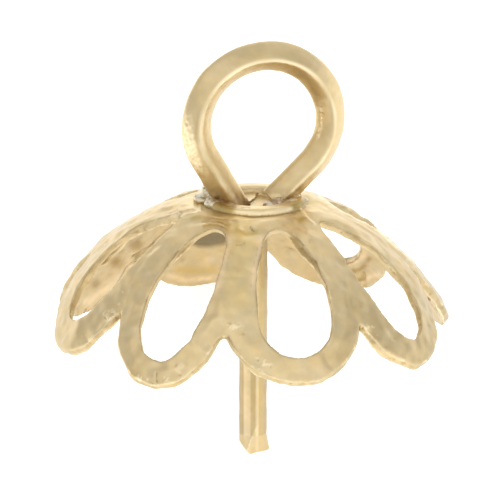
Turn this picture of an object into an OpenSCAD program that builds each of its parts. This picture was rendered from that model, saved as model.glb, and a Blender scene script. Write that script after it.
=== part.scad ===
// Pearl pendant bail: a domed flower cap, a wire eye on top and a peg below for a half-drilled pearl.
// Every piece is modelled about the cap's crown, with the peg pointing down. The whole is then laid
// at rest on the peg's tip and the two petals behind it.

/* [Cap] */
// Radius of the dome's outer face, which sets the pearl that sits below it
dome_r = 6.28; // [6.1:0.02:6.5]
// Thickness of the cap's metal
sheet_t = 0.25; // [0.21:0.01:0.35]
// Added to half the length of every petal's opening
longer = 0; // [-0.1:0.02:0.1]
// Added to half the width of every petal's opening
wider = 0; // [-0.1:0.02:0.1]
// Share by which an opening is narrower 3 mm below the dome's outer face
draft = 0.06; // [0:0.02:0.2]
// Turn of the whole ring of petals about the hub
petals_turn = 0; // [-5:0.5:5]

/* [Hub] */
// How far the hub's flat top lies below the dome's crown
hub_drop = 0.27; // [0.22:0.01:0.3]
// Thickness of the hub's plate
hub_t = 0.36; // [0.32:0.01:0.5]
// Outer radius of the raised collar
collar_r = 1.43; // [1.35:0.01:1.5]
// Radius of the well inside the collar
well_r = 0.93; // [0.85:0.01:1]
// Height of the collar above the hub's flat top
collar_h = 0.16; // [0.1:0.01:0.25]
// Depth of the well below the collar's rim
well_depth = 0.24; // [0.18:0.01:0.3]
// How far the collar sits to one side of the crown
collar_shift = 0.1; // [0:0.02:0.14]

/* [Wire] */
// Width of the wire in the plane of the eye
wire_w = 0.84; // [0.76:0.02:0.9]
// Thickness of the wire from front to back
wire_d = 0.94; // [0.86:0.02:1]
// Width of the small flat on each of the wire's four corners
wire_flat = 0.16; // [0.1:0.02:0.24]

/* [Eye] */
// Radius of the eye's bend, to the middle of the wire
eye_r = 1.97; // [1.9:0.01:2.1]
// Height of the eye's centre above the dome's crown
eye_height = 2.15; // [2.1:0.01:2.2]
// Angle of each leg from the eye's own centre line
leg_angle = 38; // [36:1:41]
// Length of each leg, from the bend down into the collar
leg_len = 1.55; // [1.45:0.05:1.7]
// Turn of the eye and the peg about the hub's axis
wire_turn = 15; // [0:1:30]
// Sideways lean of the eye
eye_lean = 7.3; // [0:0.1:10]
// Backward nod of the eye
eye_nod = 2.6; // [0:0.1:5]

/* [Peg] */
// Distance from the dome's crown down to the peg's tip
peg_reach = 7.88; // [7.4:0.02:8.2]
// Width of the peg from side to side
peg_w = 0.8; // [0.74:0.02:0.86]
// Thickness of the peg from front to back
peg_d = 0.9; // [0.8:0.02:0.96]
// Slope of the snipped face on the left of the tip
snip_rise = 50; // [40:1:60]
// Slope of the tip's end on the right
heel_rise = 15; // [5:1:25]
// Sideways lean of the peg
peg_lean = 0.5; // [0:0.1:2]

/* [Rest] */
// Turn that brings the two resting petals to the back
rest_turn = 3.6; // [-20:0.1:20]
// Backward tilt of the hub's axis when the bail rests
rest_tilt = 33.8; // [30:0.1:45]
// Slide of the whole bail, which brings the middle of its box over the origin
rest_slide = [-0.023, 2.011, 6.799]; // [-10:0.001:10]

/* [Hidden] */
GOLD = "#d9c08c";
// Corners of an opening's outline and of a petal's outline
CORNERS = 32;
// Flats round the dome, and the turn of the first of them
DOME_FN = 48;
DOME_TURN = 4.5;

// Columns of the table of petals
TURN = 0;
TILT = 1;
SLIDE = 2;
LEN = 3;
WIDE = 4;
SKEW = 5;
BLUNT = 6;
SIDE = 7;
TIP = 8;
TWIST = 9;
BEND = 10;
// One row per petal: its turn about the hub from the right, its tilt, how far its opening slides
// towards the tip, the opening's half length and half width, how much broader it grows towards the
// tip, how square its ends are, the bands of metal beside it and round its tip, its twist, and how
// far its hub end is bent to one side
PETALS = [
    [-74.6, 37.9, 0.35, 2.12, 1.06, 0.33, 0.85, 0.92, 0.64, -1.4, 0.11],
    [-30, 37.7, 0.46, 2.14, 0.87, 0.37, 1.04, 1.01, 0.67, -5.3, -0.31],
    [21.5, 37.3, 0.56, 2.25, 1.25, 0.13, 0.82, 0.88, 0.64, 1.9, 0],
    [62.3, 37.5, 0.38, 2.35, 1.24, 0.12, 0.78, 0.95, 0.79, 7.2, 0],
    [108.3, 37.4, -0.2, 1.75, 1.06, 0.06, 0.95, 0.85, 1.96, -4.4, 0],
    [146.9, 37, 0.05, 2.2, 0.68, 0, 0.9, 1.46, 1.58, -3.3, 0],
    [200.5, 36.9, 0.37, 2.14, 0.9, 0.15, 0.85, 0.95, 0.79, 4.9, 0.15],
    [243.2, 37.8, 0.45, 2.22, 0.9, 0.22, 0.86, 0.78, 0.64, -4.7, -0.06]
];

// Points of an opening's egg-shaped outline, x towards the petal's tip, starting at the hub end
function egg_point(row, t) = [
    -(row[LEN] + longer) * cos(t),
    (row[WIDE] + wider) * sign(sin(t)) * pow(abs(sin(t)), row[BLUNT]) * (1 - row[SKEW] * cos(t))
        + row[BEND] * pow((1 + cos(t)) / 2, 2)
];
function opening_of(row) = [for (i = [0 : CORNERS - 1]) egg_point(row, (i + 0.5) * 360 / CORNERS)];

// The same outline moved outwards by a band that changes from the sides to the tip
function outward(p, i) =
    let (d = p[(i + 1) % CORNERS] - p[(i + CORNERS - 1) % CORNERS])
    [-d[1], d[0]] / norm(d);
function band_at(side, tip, i) =
    let (c = max(0, -cos((i + 0.5) * 360 / CORNERS)))
    side + (tip - side) * c * c;
function grown(p, side, tip) = [for (i = [0 : CORNERS - 1]) p[i] + band_at(side, tip, i) * outward(p, i)];
function petal_of(row) = grown(opening_of(row), row[SIDE], row[TIP]);

// Carries what is drawn about a petal's middle onto its place on the dome
module on_petal(row) {
    rotate([0, 0, row[TURN] + petals_turn])
        rotate([0, row[TILT], 0])
            translate([row[SLIDE], 0, 0])
                rotate([0, 0, row[TWIST]])
                    children();
}

// Pierced opening, a little narrower at the dome's inner face than at its outer face
module piercing(row) {
    wide = opening_of(row);
    hull() {
        translate([0, 0, dome_r])
            linear_extrude(1)
                polygon(wide);
        translate([0, 0, dome_r - 3])
            linear_extrude(0.1)
                polygon(wide * (1 - draft));
    }
}

// Domed flower about the dome's own centre: eight petals pierced through, cut off flat at the hub
module flower() {
    difference() {
        rotate([0, 0, DOME_TURN]) sphere(dome_r, $fn = DOME_FN);
        rotate([0, 0, DOME_TURN]) sphere(dome_r - sheet_t, $fn = DOME_FN);
        difference() {
            translate([0, 0, -dome_r - 1])
                cylinder(h = 2 * dome_r + 2, r = dome_r + 2, $fn = 24);
            for (row = PETALS)
                on_petal(row)
                    linear_extrude(dome_r + 1)
                        polygon(petal_of(row));
        }
        for (row = PETALS)
            on_petal(row) piercing(row);
        translate([0, 0, dome_r - hub_drop])
            cylinder(h = 1, r = 4, $fn = 48);
    }
}

// Flat plate of the hub, with the raised collar and its well
module hub() {
    rim = collar_h - hub_drop;
    difference() {
        union() {
            translate([0, 0, -hub_drop - hub_t])
                cylinder(h = hub_t, r = 1.775, $fn = 64);
            translate([collar_shift, 0, -hub_drop - hub_t / 2])
                cylinder(h = collar_h + hub_t / 2, r = collar_r, $fn = 64);
        }
        translate([collar_shift, 0, rim - well_depth])
            cylinder(h = 1, r = well_r, $fn = 48);
    }
}

module petal_cap() {
    translate([0, 0, -dome_r]) flower();
    hub();
}

// Section of the wire: a diamond with a small flat on each of its four corners
function wire_ring(w, d) =
    let (f = wire_flat / 2)
    [
        [w / 2, -f], [w / 2, f], [f, d / 2], [-f, d / 2],
        [-w / 2, f], [-w / 2, -f], [-f, -d / 2], [f, -d / 2]
    ];

// Solid through a row of rings with the same number of corners
module sweep(rings) {
    n = len(rings[0]);
    last = len(rings) - 1;
    sides = [for (k = [0 : last - 1], i = [0 : n - 1])
        [k * n + i, (k + 1) * n + i, (k + 1) * n + (i + 1) % n, k * n + (i + 1) % n]];
    foot = [for (i = [0 : n - 1]) i];
    head = [for (i = [n - 1 : -1 : 0]) last * n + i];
    polyhedron([for (r = rings) each r], concat(sides, [foot, head]));
}

// Ring of the eye's wire in the upright XZ plane: its middle at c, its outer side turned to angle t
function eye_ring(c, t) = [
    for (q = wire_ring(wire_w, wire_d))
        [c[0] + q[0] * cos(t), q[1], c[1] + q[0] * sin(t)]
];

// Eye bent from one piece of wire, its two legs standing on the collar
module wire_eye() {
    right = -leg_angle;
    left = 180 + leg_angle;
    steps = 26;
    foot_x = eye_r * cos(right) + leg_len * sin(right);
    foot_z = eye_r * sin(right) - leg_len * cos(right);
    rings = concat(
        [eye_ring([foot_x, foot_z], right)],
        [for (k = [0 : steps])
            let (t = right + k * (left - right) / steps)
            eye_ring([eye_r * cos(t), eye_r * sin(t)], t)],
        [eye_ring([-foot_x, foot_z], left)]
    );
    translate([0.03, 0, 0])
        rotate([0, 0, wire_turn])
            rotate([eye_nod, 0, 0])
                rotate([0, eye_lean, 0])
                    translate([0, 0, eye_height])
                        sweep(rings);
}

// Peg that enters the pearl's drilled hole, snipped off to a slanting point
module pearl_peg() {
    top = 0.42;
    rotate([0, -peg_lean, 0])
        intersection() {
            translate([0.07, 0, -peg_reach - 1])
                rotate([0, 0, wire_turn])
                    linear_extrude(peg_reach + 1 - top)
                        polygon(wire_ring(peg_w, peg_d));
            rotate([90, 0, 0])
                linear_extrude(3, center = true)
                    polygon([
                        [-1, 0], [1, 0], [1, tan(heel_rise) - peg_reach],
                        [0, -peg_reach], [-1, tan(snip_rise) - peg_reach]
                    ]);
        }
}

// Solder run round the feet of the eye
module solder() {
    translate([-1.2, -0.28, -0.3]) sphere(0.36, $fn = 24);
    translate([1.15, 0.12, -0.28]) sphere(0.34, $fn = 24);
}

module pearl_bail() {
    color(GOLD)
        translate(rest_slide)
            rotate([-rest_tilt, 0, 0])
                rotate([0, 0, rest_turn]) {
                    petal_cap();
                    wire_eye();
                    pearl_peg();
                    solder();
                }
}

pearl_bail();
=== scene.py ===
import math
from collections import namedtuple

import bmesh
import bpy
import numpy as np
from mathutils import Matrix, Vector
from mathutils.kdtree import KDTree


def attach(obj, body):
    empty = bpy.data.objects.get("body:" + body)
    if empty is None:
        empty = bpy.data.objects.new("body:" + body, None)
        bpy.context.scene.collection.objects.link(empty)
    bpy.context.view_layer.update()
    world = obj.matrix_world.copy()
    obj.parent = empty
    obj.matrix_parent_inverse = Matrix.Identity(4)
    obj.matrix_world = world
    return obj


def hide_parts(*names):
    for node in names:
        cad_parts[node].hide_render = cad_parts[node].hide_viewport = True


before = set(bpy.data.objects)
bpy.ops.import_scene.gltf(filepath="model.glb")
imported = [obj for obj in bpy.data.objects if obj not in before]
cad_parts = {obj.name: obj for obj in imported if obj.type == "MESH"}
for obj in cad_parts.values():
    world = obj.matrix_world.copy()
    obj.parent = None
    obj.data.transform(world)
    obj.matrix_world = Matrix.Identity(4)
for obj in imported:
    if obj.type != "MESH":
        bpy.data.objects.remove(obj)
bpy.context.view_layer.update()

# Everything is drawn in millimetres about the crown of the cap, with the peg pointing down and the
# side that the camera sees towards -Y. REST then lays it down as the CAD part lies.
MM = 0.001
REST_TURN, REST_TILT = math.radians(3.6), math.radians(33.8)
REST_SLIDE = Vector((-0.023, 2.011, 6.799))
REST = (Matrix.Translation(REST_SLIDE) @ Matrix.Rotation(-REST_TILT, 4, "X")
        @ Matrix.Rotation(REST_TURN, 4, "Z"))
WORLD = Matrix.Scale(MM, 4) @ REST

# The dome's outer radius, its metal's thickness, its centre, and the height of the hub's flat top
DOME_R, SHEET = 6.28, 0.25
DOME_C = np.array([0, 0, -DOME_R])
HUB_TOP = -0.27

# How the camera sees it: height of the view above the hub's plane, and the picture's roll
ELEV, ROLL = math.radians(16.76), 0.013
TOWARDS = np.array([0, -math.cos(ELEV), math.sin(ELEV)])
# The photo: its width in pixels, its scale and where it shows the crown of the cap
PHOTO_PX, PX_PER_MM, CROWN_PX = 500, 35, (251.4, 192.6)

# Sizes of the remeshing's voxels, and the most triangles that the cap may keep
CAP_VOXEL, PEG_VOXEL, SOLDER_VOXEL = 0.040, 0.028, 0.018
CAP_TRIANGLES = 196000


# Mesh helpers

def turning(axis, degrees):
    return np.array(Matrix.Rotation(math.radians(degrees), 3, axis))


def moved(xyz, matrix):
    matrix = np.array(matrix)
    return xyz @ matrix[:3, :3].T + matrix[:3, 3]


def mesh_object(name, verts, faces):
    """A new object from points in millimetres about the crown."""
    mesh = bpy.data.meshes.new(name)
    mesh.from_pydata([tuple(map(float, v)) for v in verts], [], [tuple(map(int, f)) for f in faces])
    mesh.validate()
    piece = bpy.data.objects.new(name, mesh)
    bpy.context.scene.collection.objects.link(piece)
    return piece


def joined(name, parts):
    """One object from several parts, each with its points and its faces."""
    verts, faces, count = [], [], 0
    for xyz, part_faces in parts:
        verts.append(xyz)
        faces += [[i + count for i in face] for face in part_faces]
        count += len(xyz)
    return mesh_object(name, np.concatenate(verts), faces)


def points(mesh):
    xyz = np.empty(len(mesh.vertices) * 3)
    mesh.vertices.foreach_get("co", xyz)
    return xyz.reshape(-1, 3)


def set_points(mesh, xyz):
    mesh.vertices.foreach_set("co", np.ascontiguousarray(xyz).ravel())
    mesh.update()


def normals(mesh):
    mesh.update()
    out = np.empty(len(mesh.vertices) * 3)
    mesh.vertices.foreach_get("normal", out)
    return out.reshape(-1, 3)


def edges(mesh):
    ends = np.empty(len(mesh.edges) * 2, dtype=np.int64)
    mesh.edges.foreach_get("vertices", ends)
    return ends.reshape(-1, 2)


def spread(ends, values):
    """Mean over each point's neighbours, which the edges' ends give."""
    values = values.reshape(len(values), -1)
    neighbours = np.bincount(ends.ravel(), minlength=len(values)) + 1e-9
    out = np.empty_like(values)
    for i in range(values.shape[1]):
        out[:, i] = (np.bincount(ends[:, 0], weights=values[ends[:, 1], i], minlength=len(values))
                     + np.bincount(ends[:, 1], weights=values[ends[:, 0], i], minlength=len(values)))
    return out / neighbours[:, None]


def smooth(mesh, rounds):
    """Evens out the points, without shrinking: each pass in is followed by one out."""
    ends, xyz = edges(mesh), points(mesh)
    for _ in range(rounds):
        for share in (0.5, -0.515):
            xyz = xyz + share * (spread(ends, xyz) - xyz)
    set_points(mesh, xyz)


def settle(piece):
    """Keeps what the object's modifiers make, and drops the modifiers."""
    depsgraph = bpy.context.evaluated_depsgraph_get()
    new = bpy.data.meshes.new_from_object(piece.evaluated_get(depsgraph))
    piece.modifiers.clear()
    old, piece.data = piece.data, new
    bpy.data.meshes.remove(old)


def remesh(piece, size):
    """One skin round everything in the object, at a voxel size in millimetres."""
    skin = piece.modifiers.new("skin", "REMESH")
    skin.mode, skin.voxel_size, skin.use_smooth_shade = "VOXEL", size, True
    settle(piece)


def thin_out(piece, most):
    """Leaves out points where the surface is even, down to a number of triangles."""
    count = sum(len(face.vertices) - 2 for face in piece.data.polygons)
    if count > most:
        piece.modifiers.new("thin", "DECIMATE").ratio = most / count
        settle(piece)


def ring_faces(rows, cols, closed):
    """Faces between rings of points; closed joins the last ring to the first."""
    k, i = np.meshgrid(np.arange(rows if closed else rows - 1), np.arange(cols), indexing="ij")
    k2, i2 = (k + 1) % rows, (i + 1) % cols
    return np.stack([k * cols + i, k2 * cols + i, k2 * cols + i2, k * cols + i2], -1).reshape(-1, 4)


def bar(name, xyz, cols):
    """A bar with closed ends, from its rings of points."""
    rows = len(xyz) // cols
    faces = ring_faces(rows, cols, False).tolist()
    faces.append(list(range(cols)))
    faces.append(list(range((rows - 1) * cols, rows * cols))[::-1])
    return mesh_object(name, xyz, faces)


def cut_corners(outline, rounds):
    """A closed outline with its corners cut, a quarter of a side from each."""
    outline = np.array(outline, float)
    for _ in range(rounds):
        after = np.roll(outline, -1, 0)
        pairs = np.stack([0.75 * outline + 0.25 * after, 0.25 * outline + 0.75 * after], 1)
        outline = pairs.reshape(-1, outline.shape[1])
    return outline


def evenly(outline, gap):
    """A closed outline walked at even steps."""
    closed = np.vstack([outline, outline[:1]])
    length = np.r_[0, np.cumsum(np.linalg.norm(np.diff(closed, axis=0), axis=1))]
    stops = np.arange(0, length[-1] - gap / 2, gap)
    return np.c_[[np.interp(stops, length, closed[:, i]) for i in range(closed.shape[1])]].T


# Unevenness, wear, painted light and tones

class Noise:
    """Soft bumps in space: a sum of waves with directions and phases drawn once."""

    def __init__(self, size, seed, waves=26):
        draw = np.random.default_rng(seed)
        ways = draw.standard_normal((waves, 3))
        ways /= np.linalg.norm(ways, axis=1)[:, None]
        self.waves = ways * (2 * np.pi / (size * draw.uniform(0.7, 1.6, (waves, 1))))
        self.phases = draw.uniform(0, 2 * np.pi, waves)

    def __call__(self, xyz):
        return np.sin(xyz @ self.waves.T + self.phases).sum(1) / math.sqrt(len(self.phases) / 2)


def waves(xyz, *rows):
    """Height of soft waves together: each row has a height, a size and a seed."""
    return sum(height * Noise(size, seed)(xyz) for height, size, seed in rows)


def patchy(xyz, size, seed, mean, swing):
    """A share that drifts about its mean, kept from 0 to 1."""
    return np.clip(mean + swing * Noise(size, seed)(xyz), 0, 1)


def warp(xyz, size, amount, seed):
    """Pushes points about without thinning or thickening what they belong to."""
    pushes = [Noise(size, seed + i)(xyz) for i in range(3)]
    return xyz + np.stack(pushes, -1) * np.reshape(amount, (-1, 1))


def dimples(xyz, at, radius, depth):
    """How deep each point lies in round hollows at the given places; a negative depth is a lump."""
    out = np.zeros(len(xyz))
    order = np.argsort(xyz[:, 0])
    ordered = xyz[order, 0]
    for place, r, d in zip(at, radius, depth):
        low, high = np.searchsorted(ordered, (place[0] - r, place[0] + r))
        close = order[low:high]
        share = ((xyz[close] - place) ** 2).sum(1) / r ** 2
        hit = share < 1
        out[close[hit]] += d * (1 - share[hit]) ** 2
    return out


def scatter(xyz, mask, count, radii, depths, seed):
    """Hollows at random points of a surface."""
    draw = np.random.default_rng(seed)
    pick = np.flatnonzero(mask)
    at = xyz[pick[draw.integers(0, len(pick), count)]]
    return at, draw.uniform(*radii, count), draw.uniform(*depths, count)


def paint(mesh, name, rgb):
    layer = mesh.attributes.new(name, "FLOAT_COLOR", "POINT")
    rgba = np.c_[np.clip(rgb, 0, 1), np.ones(len(rgb))]
    layer.data.foreach_set("color", rgba.astype(np.float32).ravel())


def tint(mesh, share, xyz, drift):
    """Paints what the metal is multiplied by, mottled a little, as a half so that it can also lighten."""
    warm = drift * (0.5 * Noise(1.3, 97)(xyz) + 0.7 * Noise(0.5, 98)(xyz))
    mottle = 1 + drift * np.tanh(1.6 * Noise(0.42, 99)(xyz)) + 0.5 * drift * Noise(0.17, 96)(xyz)
    hue = np.c_[1 + 0.5 * warm, np.ones(len(xyz)), 1 - 1.1 * warm]
    paint(mesh, "tint", 0.5 * np.reshape(share, (len(xyz), -1)) * mottle[:, None] * hue)


def curvature(mesh):
    """Positive on edges that stand out, negative in creases."""
    ends, xyz, normal = edges(mesh), points(mesh), normals(mesh)
    curve = ((xyz - spread(ends, xyz)) * normal).sum(1)
    return 0.5 * curve + 0.5 * spread(ends, curve)[:, 0]


def rise(x, low, high):
    """0 up to low, 1 from high on, and even between."""
    return np.clip((x - low) / (high - low), 0, 1)


def distance(xyz, targets):
    """How far each point is from the nearest of the targets."""
    tree = KDTree(len(targets))
    for i, target in enumerate(targets):
        tree.insert(target, i)
    tree.balance()
    return np.array([tree.find(place)[2] for place in xyz])


def fade(far, reach):
    """1 at no distance, fading out past the reach."""
    return np.exp(-(far / reach) ** 2)


def in_view(xyz):
    """Millimetres to the right of the crown and above it, as the camera sees them."""
    c, s = math.cos(ROLL), math.sin(ROLL)
    up = xyz[:, 1] * math.sin(ELEV) + xyz[:, 2] * math.cos(ELEV)
    return np.c_[xyz[:, 0] * c + up * s, -xyz[:, 0] * s + up * c]


def spot(uv, at, size):
    """1 in the middle of a mark, 0 at its edge; size is a radius or a half width and half height."""
    off = (uv - at) / np.broadcast_to(size, 2)
    return np.clip(1 - (off ** 2).sum(1), 0, 1)


def stroke(uv, path, width):
    """1 on a path, fading to 0 beside it."""
    best = np.full(len(uv), np.inf)
    for start, end in zip(np.array(path[:-1]), np.array(path[1:])):
        way = end - start
        share = np.clip((uv - start) @ way / (way @ way), 0, 1)
        best = np.minimum(best, np.hypot(*(uv - start - share[:, None] * way).T))
    return fade(best, width)


# The cap's shape

# One row per petal: its turn from the front in degrees, its tilt, its opening's slide, half length,
# half width, skew and bluntness, the bands of metal beside it and round its tip, its twist, the
# sideways bend of its hub end, how far the opening's left side is drawn in, and how many degrees the
# petal is bent outwards
Petal = namedtuple("Petal", "turn tilt slide length width skew blunt side tip twist bend drawn flare")
PETALS = [
    Petal(15.4, 37.9, 0.35, 2.12, 1.06, 0.33, 0.85, 0.92, 0.64, -1.4, 0.11, 0.12, 0.2),
    Petal(60.0, 37.7, 0.46, 2.14, 0.87, 0.37, 1.04, 1.01, 0.67, -5.3, -0.31, 0, -0.1),
    Petal(111.5, 37.3, 0.56, 2.25, 1.25, 0.13, 0.82, 0.88, 0.64, 1.9, 0, 0, -0.1),
    Petal(152.3, 37.5, 0.38, 2.35, 1.24, 0.12, 0.78, 0.95, 0.79, 7.2, 0, 0, 0.7),
    Petal(198.3, 37.4, -0.20, 1.75, 1.06, 0.06, 0.95, 0.85, 1.96, -4.4, 0, 0, -0.2),
    Petal(236.9, 37.0, 0.05, 2.20, 0.68, 0.00, 0.90, 1.46, 1.58, -3.3, 0, 0, 0.6),
    Petal(290.5, 36.9, 0.37, 2.14, 0.90, 0.15, 0.85, 0.95, 0.79, 4.9, 0.15, 0, -0.2),
    Petal(333.2, 37.8, 0.45, 2.22, 0.90, 0.22, 0.86, 0.78, 0.64, -4.7, -0.06, 0, -0.8),
]
# Rows of the front petal on the left and of the petal on the right
FRONT_LEFT, RIGHT = 7, 1
# How round the band's outer and inner edges are, and how far its middle stands out
EDGE_OUT, EDGE_IN, CROWNED = 0.040, 0.055, 0.015
# The hub's profile, from the well's floor over the collar's lip to the plate: radius and height
HUB_PROFILE = [
    (0.002, -0.353), (0.93, -0.353), (0.97, -0.12), (1.02, -0.09), (1.34, -0.09), (1.43, -0.16),
    (1.46, -0.27), (1.80, -0.27), (1.80, -0.62), (0.002, -0.62),
]
# How far the collar sits to one side, and the radius up to which the profile is collar
COLLAR_SHIFT, COLLAR_REACH = 0.1, 1.6
# Sheet that fills the foot of a notch in the front, as the camera sees it: right, up and radius; and
# how much thinner it is than the cap's
NOTCH_FOOT, THINNER = (-0.84, -3.93, 0.20), 0.02


def band_section():
    """The band's section: millimetres from an edge, share of the band's width, depth in the sheet."""
    turns = np.radians([0, 30, 60, 90])
    near_out = [(EDGE_OUT * (1 - math.cos(a)), 0, EDGE_OUT * (1 - math.sin(a))) for a in turns]
    far_out = [(-d, 1, down) for d, _, down in near_out[::-1]]
    near_in = [(EDGE_IN * (1 - math.sin(a)), 0, SHEET - EDGE_IN * (1 - math.cos(a))) for a in turns]
    far_in = [(-d, 1, down) for d, _, down in near_in[::-1]]
    return np.array(near_out + [(0, 0.5, -CROWNED)] + far_out + far_in + [(0, 0.5, SHEET)] + near_in)


SECTION = band_section()
# Which points of the section lie on the opening's outer rim and on the petal's outer edge
RIM, END = 1, 6


def petal_ring(petal, steps=190):
    """One petal's ring of metal."""
    t = (np.arange(steps) + 0.5) * 2 * np.pi / steps
    s, c = np.sin(t), np.cos(t)
    across = petal.width * np.sign(s) * np.abs(s) ** petal.blunt * (1 - petal.skew * c)
    hole = np.c_[-petal.length * c, across + petal.bend * ((1 + c) / 2) ** 2]
    along = np.roll(hole, -1, 0) - np.roll(hole, 1, 0)
    along /= np.linalg.norm(along, axis=1)[:, None]
    outward = np.c_[-along[:, 1], along[:, 0]]
    band = petal.side + (petal.tip - petal.side) * np.clip(-c, 0, 1) ** 2
    out = SECTION[:, 0][None, :] + SECTION[:, 1][None, :] * band[:, None]
    ring = hole[:, None, :] + outward[:, None, :] * out[:, :, None]
    ring[..., 1] += petal.drawn * (np.clip(-s, 0, 1) ** 2)[:, None] * (1 - SECTION[:, 1])
    return on_dome(ring, petal), ring_faces(steps, len(SECTION), True)


def on_dome(ring, petal):
    """Lays a petal's flat ring on the dome, where the petal stands."""
    radius = (DOME_R - SECTION[:, 2])[None, :]
    a = math.radians(petal.twist)
    x = ring[..., 0] * math.cos(a) - ring[..., 1] * math.sin(a) + petal.slide
    y = ring[..., 0] * math.sin(a) + ring[..., 1] * math.cos(a)
    xyz = np.stack([x, y, np.sqrt(radius ** 2 - x ** 2 - y ** 2)], -1).reshape(-1, 3)
    xyz = xyz @ turning("Y", petal.tilt).T
    xyz[:, 2] -= DOME_R
    xyz = xyz @ turning("Z", petal.turn - 90).T
    xyz[:, 2] = np.minimum(xyz[:, 2], HUB_TOP)
    return bent(xyz)


def bent(xyz):
    """Bends the petals outwards or inwards about the crown, each running smoothly into the next."""
    turns = np.array([petal.turn for petal in PETALS])
    flares = np.array([petal.flare for petal in PETALS])
    turn = (np.degrees(np.arctan2(xyz[:, 0], -xyz[:, 1])) - turns[0]) % 360
    i = np.searchsorted(turns - turns[0], turn, side="right") - 1
    wide = np.diff(np.r_[turns, turns[0] + 360])[i]
    share = (turn - (turns - turns[0])[i]) / wide
    share = share * share * (3 - 2 * share)
    flare = np.radians(flares[i] * (1 - share) + np.roll(flares, -1)[i] * share)
    out = np.hypot(xyz[:, 0], xyz[:, 1]) + 1e-9
    new_out = out * np.cos(flare) - xyz[:, 2] * np.sin(flare)
    new_up = out * np.sin(flare) + xyz[:, 2] * np.cos(flare)
    return np.c_[xyz[:, :2] * (new_out / out)[:, None], new_up]


def hub(steps=96):
    """The hub's plate, collar and well, turned from their profile."""
    a = np.arange(steps) * 2 * np.pi / steps
    profile = np.array(HUB_PROFILE, float)
    xyz = np.stack([profile[:, 0] * np.cos(a)[:, None], profile[:, 0] * np.sin(a)[:, None],
                    np.broadcast_to(profile[:, 1], (steps, len(profile)))], -1).reshape(-1, 3)
    xyz[:, 0] += COLLAR_SHIFT * (np.hypot(xyz[:, 0], xyz[:, 1]) < COLLAR_REACH)
    return xyz, ring_faces(steps, len(profile), True)


def web(u, v, radius):
    """A small disc of the sheet that fills the foot of a notch, placed as the camera sees it."""
    c, s = math.cos(ROLL), math.sin(ROLL)
    x, high = u * c - v * s, u * s + v * c
    start = np.array([x, 0, 0]) + high * np.array([0, math.sin(ELEV), math.cos(ELEV)]) - DOME_C
    middle = DOME_R - SHEET / 2
    b = start @ TOWARDS
    at = start + TOWARDS * (-b + math.sqrt(b * b - start @ start + middle ** 2))
    bm = bmesh.new()
    turn = Vector(at).to_track_quat("Z", "Y").to_matrix().to_4x4()
    bmesh.ops.create_cone(bm, cap_ends=True, segments=32, radius1=radius, radius2=radius,
                          depth=SHEET - THINNER, matrix=Matrix.Translation(Vector(at + DOME_C)) @ turn)
    xyz = np.array([vert.co for vert in bm.verts])
    faces = [[vert.index for vert in face.verts] for face in bm.faces]
    bm.free()
    return bent(xyz), faces


def cap_skin():
    """The plain cap as one skin, with its openings' rims and its petals' outer edges."""
    rings = [petal_ring(petal) for petal in PETALS]
    piece = joined("cap", rings + [hub(), web(*NOTCH_FOOT)])
    remesh(piece, CAP_VOXEL)
    smooth(piece.data, 1)
    rims = np.concatenate([xyz[RIM::len(SECTION)] for xyz, _ in rings])
    return piece, rims, [xyz[END::len(SECTION)] for xyz, _ in rings]


# The cap's relief. Marks are placed as the camera sees them, in millimetres from the crown.

# Right, up, radius, and how deep each hollow is; a negative depth is a small lump
HOLLOWS = [
    (-1.83, -1.18, 0.15, 0.010), (-2.35, -1.73, 0.16, 0.010), (-2.63, -2.04, 0.13, 0.008),
    (-2.78, -2.24, 0.12, 0.008), (-2.10, -4.90, 0.10, 0.006), (-1.82, -4.88, 0.10, 0.006),
    (0.22, -4.85, 0.12, 0.006), (0.56, -4.92, 0.10, 0.006), (3.10, -3.24, 0.08, 0.010),
    (-0.22, -3.98, 0.10, 0.010), (1.69, -1.39, 0.10, 0.008), (2.22, -0.50, 0.12, 0.015),
    (-0.14, -0.98, 0.26, 0.014), (-3.64, -2.84, 0.06, -0.012), (-3.75, -3.15, 0.07, -0.012),
    (0.99, -5.33, 0.06, -0.020), (2.02, -5.27, 0.06, -0.020), (-2.12, -0.65, 0.17, 0.030),
]
# Hollows below this radius are painted darker
SMALL_HOLLOW = 0.11
# The right petal's far edge with a painted highlight, and the painted shade of the dark line behind it
RIGHT_EDGE = [
    (1.90, -0.10), (2.25, -0.35), (2.79, -0.61), (3.42, -0.98), (4.05, -1.47), (4.39, -1.75), (4.96, -2.21),
]
RIGHT_SHADE = [(u + 0.06, v + 0.09) for u, v in RIGHT_EDGE]
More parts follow.
